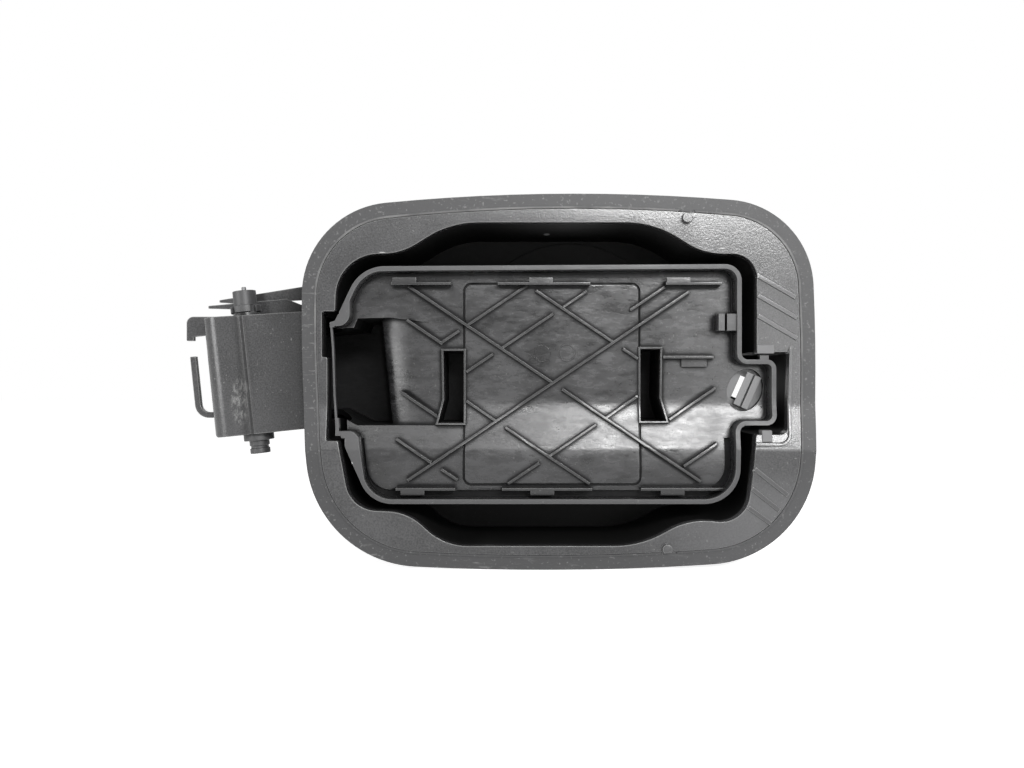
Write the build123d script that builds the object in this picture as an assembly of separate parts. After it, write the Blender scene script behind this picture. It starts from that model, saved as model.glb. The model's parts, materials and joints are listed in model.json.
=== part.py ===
from build123d import *
import os
from math import copysign

# Car fuel door module: a moulded filler housing with its soft flange lip, and a ribbed door carrier that
# swings out of it on a gooseneck hinge. The painted outer skin clips onto the carrier and is not fitted.
# The solids are drawn with x to the right, y up and z out of the car's side, and stood up on export so
# that +Z is up and -Y faces out. The origin is the middle of the flange, on its face.

# Body line: every outer skin follows one section, which runs along x
SKIN_REACH = 96.0
SKIN_TOP_Z = -0.6
TROUGH_Y = -9.0
TROUGH_Z = -0.6
TROUGH_RADIUS = 30.0
RIDGE_Y = -28.5
RIDGE_Z = 3.0
RIDGE_RADIUS = 5.0
SKIN_LOW_Z = -3.0

# Lengths longer than any piece, for cutting, and how far features sink into what carries them
SPAN_X = 200.0
DEEP = 120.0
SINK = 1.0

# Flange: four bowed sides between corner points, then rounded corners
FLANGE_CORNERS = [(-106.5, 71.5), (105.5, 73.5), (104.5, -73.5), (-100.5, -75.0)]
FLANGE_BOWS = [(8.0, 79.3), (108.4, 4.0), (0.0, -79.2), (-107.6, 10.0)]
FLANGE_RADII = [39.0, 37.5, 45.0, 47.5]
FLANGE_THICK = 2.5
LIP_WIDTH = 6.2
BEAD_WIDTH = 0.9
BEAD_RISE = 0.5

# Latch recess in the right edge of the mouth
RECESS_LEFT = 82.8
RECESS_RIGHT = 97.2
RECESS_LEAN = 1.0
RECESS_TOP = 12.6
RECESS_LOW = -22.0

# Notch in the left edge of the mouth, which the gooseneck swings through
NOTCH_TOP = 29.8
NOTCH_LOW = -24.6

# Mouth of the housing, as corner x, corner y and corner radius
MOUTH = [
    (-99.3, NOTCH_TOP, 1.0), (-93.8, NOTCH_TOP, 1.0), (-92.8, 53.6, 18.0), (-66.0, 54.2, 27.0),
    (-45.0, 67.2, 40.0), (41.0, 67.2, 42.0), (61.0, 54.0, 30.0), (83.7, 54.0, 10.0),
    (83.7, RECESS_TOP, 0.8), (RECESS_RIGHT, RECESS_TOP, 0.8), (RECESS_RIGHT - RECESS_LEAN, RECESS_LOW, 3.6),
    (RECESS_LEFT, RECESS_LOW, 0.8),
    (79.2, -60.0, 12.0), (55.0, -57.4, 30.0), (35.0, -69.0, 42.0), (-48.0, -69.0, 25.0),
    (-63.0, -54.6, 22.0), (-87.0, -53.6, 13.0), (-92.0, NOTCH_LOW, 0.8), (-97.0, NOTCH_LOW, 1.0),
    (-97.0, 10.5, 0.8), (-99.3, 10.5, 0.8),
]
WALL = 2.4
POT_DEPTH = 55.0

# Filler neck opening in the pot's floor, with the rubber ring in it
NECK_X = 8.0
NECK_Y = 17.0
NECK_HOLE_RADIUS = 32.0
NECK_BORE_RADIUS = 28.0
NECK_LIP_RADIUS = 34.5
NECK_LIP_THICK = 1.6
NECK_SKIRT_LENGTH = 9.0
NECK_PAD_RADIUS = 49.0
NECK_PAD_RISE = 1.2

# Opening behind the latch, for the lock's plunger, with a collar behind it
LOCK_X = 89.4
LOCK_Y = 0.0
LOCK_BORE_RADIUS = 7.6
LOCK_COLLAR_RADIUS = 10.0
LOCK_COLLAR_LENGTH = 5.0

# Drain spigot at the pot's lowest corner
DRAIN_X = -30.0
DRAIN_Y = -53.0
DRAIN_BORE_RADIUS = 3.0
DRAIN_RADIUS = 4.6
DRAIN_LENGTH = 14.0

# Hinge: its own frame is turned a little in the plane of the flange
HINGE_X = -133.1
HINGE_Y = 3.0
HINGE_Z = -18.0
HINGE_TILT = 5.9
PIN_RADIUS = 3.0
PIN_CLEARANCE = 0.05
PIN_NUB_RADIUS = 1.0
PIN_NUB_LENGTH = 3.0
HUB_RADIUS = 7.0
HUB_HALF = 20.0
HUB_END_GAP = 0.4

# Hinge pocket, in the hinge frame
POCKET_LEFT = -17.8
POCKET_RIGHT = 40.6
POCKET_HALF = 25.5
POCKET_FRONT = 10.0
POCKET_BACK = -50.5
POCKET_CORNER = 8.0
POCKET_TOP_SLANT = (1.1, -1.4)
POCKET_TOP_ROUND = 1.4
POCKET_LOW_ROUND = 2.6
CREASE_RADIUS = 2.4
CREASE_DEPTH = 0.6
BOSS_RADIUS = 5.6
BOSS_RISE = 2.0
WELL_LEFT = -101.0
WELL_RIGHT = -63.0
WELL_TOP = 33.5
WELL_LOW = -27.0

# Cable clip on the pocket's left: plate, hook and the depths between which both lie
CABLE_PLATE = [
    (-150.4, 29.2, 0), (-164.4, 29.2, 3.0), (-164.4, 18.4, 0.3), (-161.2, 18.4, 0.3), (-161.2, 20.2, 0.3),
    (-150.4, 21.4, 0),
]
CABLE_HOOK = [(-161.6, 11.4), (-158.9, -14.6), (-147.6, -14.6)]
CABLE_HOOK_WIDTH = 2.6
CABLE_HOOK_RADIUS = 5.0
CABLE_CLIP_BACK = -27.5
CABLE_CLIP_FRONT = -24.5

# Blades above the pocket that brace it to the pot's side
BLADE = [
    (-155.8, 38.3), (-93.5, 48.4), (-93.5, 39.4), (-150.0, 36.8), (-155.8, 37.2),
]
BLADE_BACK = -46.0
WING = [
    (-156.2, 34.4), (-121.0, 37.6), (-112.0, 34.0), (-94.0, 34.0), (-94.0, 27.0), (-136.0, 25.0),
    (-140.0, 32.8), (-156.2, 33.2),
]
WING_BACK = -31.0
BLADE_THICK = 1.8

# Hinge bushes
BUSH_RADIUS = 4.6
COLLAR_RADIUS = 6.5
COLLAR_THICK = 3.0
COLLAR_SLOTS = 4
COLLAR_SLOT_WIDTH = 2.4
HEAD_RADIUS = 5.0
UPPER_HEAD_LENGTH = 6.6
LOWER_CAP_LENGTH = 5.7
LOWER_CAP_RADIUS = 4.3
LOWER_CAP_RINGS = 1
RING_DEPTH = 0.5
HEAD_CAP = 1.2

# Hold-open leaf spring
LEAF_THICK = 0.6
LEAF_HALF_WIDTH = 8.0
LEAF_HUB_GAP = 0.3
LEAF_FOOT = -38.0
LEAF_BEND = -25.0
LEAF_RIDE = (-5.0, 2.0)
LEAF_TIP = (2.4, 3.0)
LEAF_RADII = [6.0, 6.0, 2.0]

# Door carrier tray, as corner x, corner y and corner radius
TRAY = [
    (-96.4, 23.7, 0.4), (-96.4, 25.3, 0.4), (-94.2, 26.0, 0.6), (-83.3, 49.0, 16.0), (77.9, 50.0, 7.0),
    (77.9, 9.6, 2.6), (92.5, 9.6, 4.0), (92.5, -18.3, 4.6), (76.7, -18.3, 3.0), (76.7, -51.4, 15.0),
    (-79.0, -51.4, 14.0), (-90.2, -25.4, 1.2), (-91.4, -22.6, 0.4), (-93.7, -22.6, 0.4), (-94.1, -20.6, 0.4),
]
RIM_DROP = 2.0
RIM_THICK = 2.0
FLOOR_DROP = 12.0
FLOOR_THICK = 2.4
STRIP = [(-95.8, 24.4), (-95.0, 14.0), (-94.4, -6.0), (-93.0, -21.4)]
STRIP_THICK = 0.9
STRIP_DEPTH = 2.6
NOTCH_SWING_RADIUS = 40.8
UPPER_SWING_RADIUS = 45.8
LOWER_SWING_RADIUS = 44.4
SWING_MARGIN = 1.0

# Inner edge of the two horns that flank the gooseneck, wider than the rim, as corners of what they enclose
HORN_INSIDE = [
    (-110.0, 23.7, 0), (-88.0, 23.7, 5.0), (-88.0, 46.6, 14.0), (-50.0, 47.4, 0), (110.0, 60.0, 0),
    (110.0, -60.0, 0), (-50.0, -50.0, 0), (-80.2, -49.4, 7.5), (-84.2, -20.6, 4.2), (-110.0, -20.6, 0),
]

# Nub on the tray's rim under the upper buffer
NUB_X = 87.4
NUB_WIDTH = 3.8
NUB_TOP = 11.6
NUB_DEPTH = 4.0

# Raised middle panel of the tray
PANEL_LEFT = -39.4
PANEL_RIGHT = 35.2
PANEL_TOP = 42.0
PANEL_LOW = -43.4
PANEL_RISE = 1.0
PANEL_CORNER = 2.6
PANEL_GROOVE = 1.0
PANEL_GROOVE_DEPTH = 0.7

# Gutter between the tray's floor and its lower wall
GUTTER_LEFT = -80.6
GUTTER_RIGHT = 72.0
GUTTER_TOP = -24.0
GUTTER_LOW = -46.4
GUTTER_RADIUS = 11.0
GUTTER_LEAN = 2.4
GUTTER_DROP = 13.8
GUTTER_WALL = 1.4

# Gooseneck in the hinge frame: across, then out
NECK_WALL = 2.5
LEG_LEFT = -6.0
LEG_RIGHT = 6.0
NECK_LOW = -46.0
FALL_X = 61.1
FALL_RADIUS = 20.5
FALL_FOOT_RADIUS = 10.0
FALL_START = 84.6

# Gooseneck plan, seen from the front
NECK_PLAN = [
    (-146.0, 19.3), (-125.7, 20.7), (-92.0, 23.4), (-87.8, 23.6), (-86.2, 27.6), (-72.0, 28.0), (-59.0, 26.2),
    (-47.0, 25.6), (-47.0, -18.6), (-86.0, -18.6), (-98.0, -12.4), (-123.3, -13.6), (-143.8, -15.5),
]

# Lattice ribs: height of the rib's line at x = 0, then where it starts and ends
RIB_SLOPE = 0.67
RISING_RIBS = [
    (50.3, -50.3, -42.1), (50.3, -39.0, -12.8), (30.5, -39.0, -27.5), (30.5, -23.6, -1.6), (30.5, 2.7, 13.0),
    (9.8, 31.6, 46.6), (0.8, -64.0, 57.0), (-29.4, -21.0, -7.7), (-29.4, -3.8, 16.9), (-29.4, 21.2, 35.0),
    (-48.4, 48.2, 68.5), (-72.1, 54.0, 68.6),
]
FALLING_RIBS = [
    (33.5, -9.0, 24.5), (33.5, 28.5, 35.0), (-1.5, -64.0, -2.1), (-1.5, 2.3, 61.3), (-34.2, -39.0, -26.2),
    (-34.2, -22.3, 13.9), (-70.4, -68.9, -53.8), (-70.4, -49.5, -42.6),
]
SCOOP_RIBS = [(-16.5, -64.6, -49.0), (-49.3, -67.6, -51.0)]
RIB_THICK = 1.2
RIB_RISE = 2.4

# Hollow posts that hold the filler cap while the tank is filled
POST_LEFT = [(-49.8, 14.4), (-39.2, 14.4), (-39.2, -18.4), (-52.2, -18.4), (-49.4, -7.5)]
POST_RIGHT = [(35.2, 15.2), (45.6, 15.2), (45.2, -6.8), (48.2, -17.6), (35.2, -17.6)]
POST_WALL = 0.9
POST_RISE = 2.0
POST_BACK = -42.0

# Snap tongues for the outer skin: middle, length and middle of the nose
TOP_TONGUES = [(-58.2, 25.4, -65.3), (-5.6, 39.5, -6.9), (58.5, 24.0, 51.9)]
LOW_TONGUES = [(-56.1, 25.4, -61.6), (-4.4, 38.3, -6.4), (53.5, 35.7, 49.0)]
TOP_TONGUE_Y = 42.2
LOW_TONGUE_Y = -45.6
TONGUE_THICK = 1.2
TONGUE_DROP = 6.0
NOSE_LENGTH = 10.2
NOSE_REACH = 2.6
NOSE_THICK = 2.4

# Bracket and shelf at the right of the tray
CLIP_X = 72.9
CLIP_Y = 25.4
CLIP_LENGTH = 9.4
CLIP_WIDTH = 7.2
SHELF_X = 56.8
SHELF_Y = 10.8
SHELF_LENGTH = 22.0
SHELF_STEP = (2.6, -2.2)
SHELF_WIDTH = 4.0
CLIP_DROP = 2.6
CLIP_SLOT = 0.9
CLIP_SLOT_X = 71.3

# Quarter-turn striker in the tray's latch hole
STRIKER_X = 81.6
STRIKER_Y = -3.4
STRIKER_LEAN = -24.0
LATCH_HOLE_ACROSS = 7.6
LATCH_HOLE_ALONG = 9.3
STRIKER_WIDTH = 6.8
STRIKER_LENGTH = 15.2
STRIKER_SHIFT = 0.8
STRIKER_TIP = -30.0
STRIKER_TAPER = 4.8
STRIKER_PLATE_RADIUS = 10.4
STRIKER_PLATE_THICK = 2.2
STRIKER_GROOVE = 0.6
STRIKER_GROOVE_DEPTH = 2.0
STRIKER_WINDOW = 1.2
STRIKER_WINDOW_LENGTH = 11.0
STRIKER_RISE = 1.6
STRIKER_EYE = (4.0, 10.0)

# Buffers beside the latch recess
BUFFER_INSET = 9.9
UPPER_BUFFER_WIDTH = 7.2
LOWER_BUFFER_WIDTH = 4.2
BUFFER_DEPTH = 5.0
BUFFER_LAP = 3.0
BUFFER_RISE = 0.6
UPPER_BUFFER_REACH = 0.6
LOWER_BUFFER_REACH = 1.8

# Small features of the flange
PEGS = [(54.2, 68.9), (45.8, -70.1)]
PEG_RADIUS = 2.1
PEG_RISE = 2.6
PEG_ROOM = 2.4
UPPER_SLASHES = [(83.4, 45.2), (84.0, 36.6), (84.0, 28.0)]
LOWER_SLASHES = [(82.0, -36.2), (80.9, -44.4), (79.6, -52.4)]
SLASH_RUN_UPPER = (16.6, -9.6)
SLASH_RUNS_LOWER = [(14.2, -11.2), (12.0, -9.4), (9.8, -7.0)]
SLASH_WIDTH = 1.9
SLASH_RISE = 0.6
RECESS_BEAD_RISE = 0.9
RECESS_BEAD_WIDTH = 1.3
RECESS_BEAD_RADIUS = 4.6
RECESS_BEAD_GAP = 4.0
RECESS_BEAD_ENDS = (2.0, 2.0)

# Outside of the pot: gussets under the flange, and wedge-shaped snap hooks between them
GUSSET_DEPTH = 16.0
GUSSET_REACH = 1.6
GUSSET_THICK = 1.8
GUSSETS_TOP = [-34.0, -14.0, 14.0, 34.0]
GUSSETS_LOW = [-34.0, -14.0, 14.0, 28.0]
HOOK_WIDTH = 9.0
HOOK_REACH = 3.0
HOOK_DROP = 7.0
HOOK_HEIGHT = 9.0
HOOK_X = 0.0


def rounded(corners):
    """Closed outline through corners given as x, y and radius."""
    points = [(x, y) for x, y, radius in corners]
    return make_face(FilletPolyline(*points, radius=[radius for x, y, radius in corners], close=True))


def polygon(points):
    return make_face(Polyline(*points, close=True))


def box(left, right, low, high, near, far):
    """Box between two x, two y and two z values."""
    middle = ((left + right) / 2, (low + high) / 2, (near + far) / 2)
    return Pos(*middle) * Box(right - left, high - low, far - near)


def prism(outline, low, high):
    return extrude(Pos(0, 0, low) * outline, high - low, dir=(0, 0, 1))


def across(section, low, high):
    """Hinge-frame section of x and z, run along the pin from low to high."""
    return HINGE * extrude(Pos(0, high, 0) * (Plane.XZ * section), high - low, dir=(0, -1, 0))


def skin_line(shift):
    return [
        (SKIN_REACH, SKIN_TOP_Z + shift), (TROUGH_Y, TROUGH_Z + shift),
        (RIDGE_Y, RIDGE_Z + shift), (-SKIN_REACH, SKIN_LOW_Z + shift),
    ]


def along_x(points, radii):
    section = make_face(FilletPolyline(*points, radius=radii, close=True))
    return extrude(Plane.YZ * section, SPAN_X, both=True)


def slab(upper, lower):
    """Layer between two heights above the body line."""
    points = skin_line(upper) + skin_line(lower)[::-1]
    return along_x(points, [0, TROUGH_RADIUS, RIDGE_RADIUS, 0, 0, RIDGE_RADIUS, TROUGH_RADIUS, 0])


def under(upper, back):
    """Everything behind one height above the body line, down to a flat back."""
    points = skin_line(upper) + [(-SKIN_REACH, back), (SKIN_REACH, back)]
    return along_x(points, [0, TROUGH_RADIUS, RIDGE_RADIUS, 0, 0, 0])


def inwards(value, inset):
    return value - copysign(inset, value)


def flange_outline(inset):
    """Flange outline, or one drawn a little inside it."""
    corners = [(inwards(x, inset), inwards(y, inset)) for x, y in FLANGE_CORNERS]
    bows = [
        (x, inwards(y, inset)) if abs(y) > abs(x) else (inwards(x, inset), y)
        for x, y in FLANGE_BOWS
    ]
    ends = corners[1:] + corners[:1]
    outline = make_face([ThreePointArc(*points) for points in zip(corners, bows, ends)])
    for corner, radius in zip(corners, FLANGE_RADII):
        outline = fillet(outline.vertices().sort_by_distance(corner)[0], radius - inset)
    return outline


HINGE = Pos(HINGE_X, HINGE_Y, HINGE_Z) * Rot(0, 0, HINGE_TILT)
FLANGE = flange_outline(0)
FLANGE_PANEL = flange_outline(LIP_WIDTH)
MOUTH_FACE = rounded(MOUTH)
POT_FACE = offset(MOUTH_FACE, WALL)
MOUTH_TOP = max(y for x, y, radius in MOUTH)
MOUTH_LOW = min(y for x, y, radius in MOUTH)
FLOOR_Z = -POT_DEPTH
POT_BACK = FLOOR_Z - WALL
POCKET_INNER_HALF = POCKET_HALF - WALL
POCKET_FLOOR_Z = HINGE_Z + POCKET_BACK + WALL
BUSH_SEAT = POCKET_HALF + BOSS_RISE
HINGE_FLOOR = -FLOOR_DROP - HINGE_Z + TROUGH_Z


def make_flange_lip():
    """Soft lip round the flange, with a fine bead along its inner edge."""
    band = prism(FLANGE - FLANGE_PANEL, -DEEP, DEEP) & slab(0, -FLANGE_THICK)
    bead_face = flange_outline(LIP_WIDTH - BEAD_WIDTH) - FLANGE_PANEL
    for x, y in PEGS:
        bead_face -= Pos(x, y) * Circle(PEG_RADIUS + PEG_ROOM)
    bead = prism(bead_face, -DEEP, DEEP) & slab(BEAD_RISE, -FLANGE_THICK)
    return band + bead


def flange_details():
    """Locating pegs, slanted ribs and the bead round the latch recess."""
    details = Part()
    for x, y in PEGS:
        details += Pos(x, y, 0) * Cylinder(PEG_RADIUS, 2 * DEEP) & slab(PEG_RISE, -FLANGE_THICK)
    strips = []
    for x, y in UPPER_SLASHES:
        strips.append(Line((x, y), (x + SLASH_RUN_UPPER[0], y + SLASH_RUN_UPPER[1])))
    for (x, y), (run, drop) in zip(LOWER_SLASHES, SLASH_RUNS_LOWER):
        strips.append(Line((x, y), (x + run, y + drop)))
    for strip in strips:
        details += prism(trace(strip, SLASH_WIDTH), -DEEP, DEEP) & slab(SLASH_RISE, -FLANGE_THICK)
    right = RECESS_RIGHT + RECESS_BEAD_WIDTH / 2
    low = RECESS_LOW - RECESS_BEAD_GAP
    start = (right, RECESS_TOP + RECESS_BEAD_ENDS[0])
    end = (RECESS_LEFT - RECESS_BEAD_ENDS[1], low)
    path = FilletPolyline(start, (right - RECESS_LEAN, low), end, radius=RECESS_BEAD_RADIUS)
    details += prism(trace(path, RECESS_BEAD_WIDTH), -DEEP, DEEP) & slab(RECESS_BEAD_RISE, -FLANGE_THICK)
    return details & prism(FLANGE_PANEL, -DEEP, DEEP)


def pocket_outer():
    """Outside of the hinge pocket, with its rounded left edges, and the well that the gooseneck dips into."""
    section = rounded([
        (POCKET_LEFT, POCKET_BACK, POCKET_CORNER), (POCKET_RIGHT, POCKET_BACK, 0),
        (POCKET_RIGHT, POCKET_FRONT, 0), (POCKET_LEFT, POCKET_FRONT, POCKET_CORNER),
    ])
    outline = rounded([
        (POCKET_LEFT, -POCKET_HALF, POCKET_LOW_ROUND), (POCKET_RIGHT, -POCKET_HALF, 0),
        (POCKET_RIGHT, POCKET_HALF + POCKET_TOP_SLANT[1], 0),
        (POCKET_LEFT, POCKET_HALF + POCKET_TOP_SLANT[0], POCKET_TOP_ROUND),
    ])
    pocket = across(section, -2 * POCKET_HALF, 2 * POCKET_HALF) & HINGE * prism(outline, -DEEP, DEEP)
    pocket += across(Circle(BOSS_RADIUS), 0, POCKET_HALF + BOSS_RISE)
    crease_z = POCKET_FRONT + CREASE_RADIUS - CREASE_DEPTH
    pocket -= across(Pos(0, crease_z) * Circle(CREASE_RADIUS), -2 * POCKET_HALF, 2 * POCKET_HALF)
    well = box(WELL_LEFT, WELL_RIGHT, WELL_LOW, WELL_TOP, HINGE_Z + POCKET_BACK, POT_BACK + WALL)
    return pocket + well


def pocket_inner():
    section = rounded([
        (POCKET_LEFT + WALL, POCKET_BACK + WALL, POCKET_CORNER - WALL),
        (POCKET_RIGHT + WALL, POCKET_BACK + WALL, 0), (POCKET_RIGHT + WALL, POCKET_FRONT - WALL, 0),
        (POCKET_LEFT + WALL, POCKET_FRONT - WALL, POCKET_CORNER - WALL),
    ])
    pocket = across(section, -POCKET_INNER_HALF, POCKET_INNER_HALF)
    sides = (WELL_LEFT + WALL, WELL_RIGHT - WALL, WELL_LOW + WALL, WELL_TOP - WALL)
    return pocket + box(*sides, POCKET_FLOOR_Z, FLOOR_Z + SINK)


def cable_clip():
    """Open clip on the left of the pocket, for the release cable."""
    hook = trace(FilletPolyline(*CABLE_HOOK, radius=CABLE_HOOK_RADIUS), CABLE_HOOK_WIDTH)
    return prism(rounded(CABLE_PLATE) + hook, CABLE_CLIP_BACK, CABLE_CLIP_FRONT)


def pocket_fins():
    """Two slim blades above the pocket that brace it to the pot's side."""
    blade = prism(polygon(BLADE), BLADE_BACK, BLADE_BACK + BLADE_THICK)
    return blade + prism(polygon(WING), WING_BACK, WING_BACK + BLADE_THICK)


def pot_web(edge, side, x, width, corners):
    """Flat web on the pot's upper or lower wall, drawn as reach and depth."""
    points = [(edge + side * reach, depth) for reach, depth in corners]
    return Pos(x, 0, 0) * extrude(Plane.YZ * polygon(points), width / 2, both=True)


def pot_outside():
    """Gussets between flange and pot, and the snap hooks that hold the housing in the body."""
    gusset = [(-SINK, -SINK), (GUSSET_REACH, -SINK), (0, -GUSSET_DEPTH), (-SINK, -GUSSET_DEPTH)]
    hook_back = -HOOK_DROP - HOOK_HEIGHT
    hook = [(-SINK, -HOOK_DROP), (HOOK_REACH, -HOOK_DROP), (0, hook_back), (-SINK, hook_back)]
    outside = Part()
    walls = [(MOUTH_TOP + WALL, 1, GUSSETS_TOP), (MOUTH_LOW - WALL, -1, GUSSETS_LOW)]
    for edge, side, places in walls:
        for x in places:
            outside += pot_web(edge, side, x, GUSSET_THICK, gusset)
        outside += pot_web(edge, side, HOOK_X, HOOK_WIDTH, hook)
    return outside & under(-SINK, -DEEP)


def make_housing():
    """Flange, pot, hinge pocket and clip, moulded as one piece."""
    flange = prism(FLANGE_PANEL, -DEEP, DEEP) & slab(0, -FLANGE_THICK)
    pot = prism(POT_FACE, POT_BACK, DEEP) & under(-FLANGE_THICK / 2, -DEEP)
    body = flange + pot + pocket_outer() + cable_clip() + pocket_fins() + flange_details() + pot_outside()
    lock = Pos(LOCK_X, LOCK_Y)
    drain = Pos(DRAIN_X, DRAIN_Y)
    neck = Pos(NECK_X, NECK_Y)
    body += prism(lock * Circle(LOCK_COLLAR_RADIUS), POT_BACK - LOCK_COLLAR_LENGTH, FLOOR_Z)
    body += prism(drain * Circle(DRAIN_RADIUS), POT_BACK - DRAIN_LENGTH, FLOOR_Z)
    body -= prism(MOUTH_FACE, FLOOR_Z, DEEP)
    body += prism((neck * Circle(NECK_PAD_RADIUS)) & MOUTH_FACE, FLOOR_Z - SINK, FLOOR_Z + NECK_PAD_RISE)
    body -= pocket_inner()
    bores = [(neck, NECK_HOLE_RADIUS), (lock, LOCK_BORE_RADIUS), (drain, DRAIN_BORE_RADIUS)]
    for place, radius in bores:
        body -= prism(place * Circle(radius), -DEEP, FLOOR_Z + 2 * NECK_PAD_RISE)
    body -= across(Circle(BUSH_RADIUS), -2 * POCKET_HALF, 2 * POCKET_HALF)
    return body


def make_neck_seal():
    """Rubber ring in the filler opening, clipped over both faces of the floor."""
    seat = FLOOR_Z + NECK_PAD_RISE
    skirt = POT_BACK - NECK_SKIRT_LENGTH
    profile = polygon([
        (NECK_BORE_RADIUS, seat + NECK_LIP_THICK), (NECK_LIP_RADIUS, seat + NECK_LIP_THICK),
        (NECK_LIP_RADIUS, seat), (NECK_HOLE_RADIUS, seat), (NECK_HOLE_RADIUS, POT_BACK),
        (NECK_LIP_RADIUS, POT_BACK), (NECK_BORE_RADIUS, skirt),
    ])
    return Pos(NECK_X, NECK_Y, 0) * revolve(Plane.XZ * profile, Axis.Z)


def make_hinge_pin():
    head_top = BUSH_SEAT + COLLAR_THICK + UPPER_HEAD_LENGTH
    shank_top = head_top - HEAD_CAP
    shank_low = -POCKET_HALF - COLLAR_THICK - LOWER_CAP_LENGTH
    shank = across(Circle(PIN_RADIUS), shank_low, shank_top)
    return shank + across(Circle(PIN_NUB_RADIUS), shank_top, shank_top + PIN_NUB_LENGTH)


def collar_slots(low, high):
    slots = Part()
    for index in range(COLLAR_SLOTS):
        slot = Pos(COLLAR_RADIUS, 0) * Rectangle(2 * (COLLAR_RADIUS - BUSH_RADIUS), COLLAR_SLOT_WIDTH)
        slots += across(Rot(0, 0, 45 + index * 360 / COLLAR_SLOTS) * slot, low, high)
    return slots


def make_upper_bush():
    """Flanged bush with a slotted collar and a closed head, which the pin's nub passes through."""
    collar_top = BUSH_SEAT + COLLAR_THICK
    head_top = collar_top + UPPER_HEAD_LENGTH
    bush = across(Circle(BUSH_RADIUS), HUB_HALF + HUB_END_GAP, collar_top)
    bush += across(Circle(HEAD_RADIUS), collar_top, head_top)
    bush += across(Circle(COLLAR_RADIUS), BUSH_SEAT, collar_top)
    bush -= collar_slots(BUSH_SEAT, collar_top)
    bush -= across(Circle(PIN_RADIUS), 0, head_top - HEAD_CAP)
    return bush - across(Circle(PIN_NUB_RADIUS), 0, 2 * head_top)


def make_lower_bush():
    """Flanged bush with a ringed cap below its collar."""
    collar_low = -POCKET_HALF - COLLAR_THICK
    cap_low = collar_low - LOWER_CAP_LENGTH
    bush = across(Circle(BUSH_RADIUS), collar_low, -HUB_HALF - HUB_END_GAP)
    bush += across(Circle(COLLAR_RADIUS), collar_low, -POCKET_HALF)
    bush += across(Circle(LOWER_CAP_RADIUS), cap_low, collar_low)
    ring = Circle(LOWER_CAP_RADIUS + 1) - Circle(LOWER_CAP_RADIUS - RING_DEPTH)
    pitch = LOWER_CAP_LENGTH / (LOWER_CAP_RINGS + 1)
    for index in range(LOWER_CAP_RINGS):
        middle = cap_low + (index + 1) * pitch
        bush -= across(ring, middle - pitch / 5, middle + pitch / 5)
    return bush - across(Circle(PIN_RADIUS), -2 * POCKET_HALF, 0)


def make_hold_open_spring():
    """Leaf spring: its foot lies on the pocket's left wall and its tip rides on the hub."""
    wall = POCKET_LEFT + WALL + LEAF_THICK / 2
    crown = -HUB_RADIUS - LEAF_HUB_GAP - LEAF_THICK / 2
    low, high = LEAF_RIDE
    tip = (crown - LEAF_TIP[0], high + LEAF_TIP[1])
    points = [(wall, LEAF_FOOT), (wall, LEAF_BEND), (crown, low), (crown, high), tip]
    path = FilletPolyline(*points, radius=LEAF_RADII)
    return across(trace(path, LEAF_THICK), -LEAF_HALF_WIDTH, LEAF_HALF_WIDTH)


def make_buffer(edge, reach, width):
    """Pad clipped over the edge of the latch recess: a lip on the flange and a block inside the recess."""
    left = RECESS_RIGHT - BUFFER_INSET - width / 2
    lap_low, lap_high = sorted((edge - copysign(BUFFER_LAP, reach), edge))
    block_low, block_high = sorted((edge, edge + reach))
    lip = box(left, left + width, lap_low, lap_high, -DEEP, DEEP) & slab(BUFFER_RISE, 0)
    block = box(left, left + width, block_low, block_high, -DEEP, DEEP) & slab(BUFFER_RISE, -BUFFER_DEPTH)
    return lip + block


def rib_face(height, start, end, slope):
    """Thin strip along one line of the lattice."""
    return trace(Line((start, height + slope * start), (end, height + slope * end)), RIB_THICK)


def gooseneck_region(inset, top):
    """Side view of the gooseneck: everything in front of a line that lies inset from its outer face."""
    low = NECK_LOW + inset
    left = LEG_LEFT + inset
    fall = FALL_X - inset
    floor = HINGE_FLOOR - NECK_WALL + inset
    return rounded([
        (FALL_START, floor, 0), (fall, floor, FALL_RADIUS + inset), (fall, low, FALL_FOOT_RADIUS - inset),
        (left, low, FALL_FOOT_RADIUS - inset), (left, top, 0), (FALL_START, top, 0),
    ])


def swing_disc(radius):
    """Half disc about the pin that the door leaves free for the edge of the flange."""
    right_half = Pos(LEG_RIGHT + radius, 0) * Rectangle(2 * radius, 4 * radius)
    return across(Circle(radius) & right_half, -SPAN_X, SPAN_X)


def swing_clearance():
    """What the tray leaves free: a smaller radius inside the notch, larger ones above and below it."""
    above = box(-SPAN_X, 0, NOTCH_TOP - SWING_MARGIN, SPAN_X, -DEEP, DEEP)
    below = box(-SPAN_X, 0, -SPAN_X, NOTCH_LOW + SWING_MARGIN, -DEEP, DEEP)
    sides = (swing_disc(UPPER_SWING_RADIUS) & above) + (swing_disc(LOWER_SWING_RADIUS) & below)
    return swing_disc(NOTCH_SWING_RADIUS) + sides


def floor_plate(inset):
    """The tray's floor inside the gutter, made smaller by inset."""
    left, right = GUTTER_LEFT + inset, GUTTER_RIGHT - inset
    low, top = GUTTER_LOW + inset, GUTTER_TOP + inset
    return rounded([
        (-SPAN_X, SPAN_X, 0), (-SPAN_X, top, 0), (left - GUTTER_LEAN, top, 0), (left, low, GUTTER_RADIUS - inset),
        (right, low, GUTTER_RADIUS - inset), (right, top, 0), (SPAN_X, top, 0), (SPAN_X, SPAN_X, 0),
    ])


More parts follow.
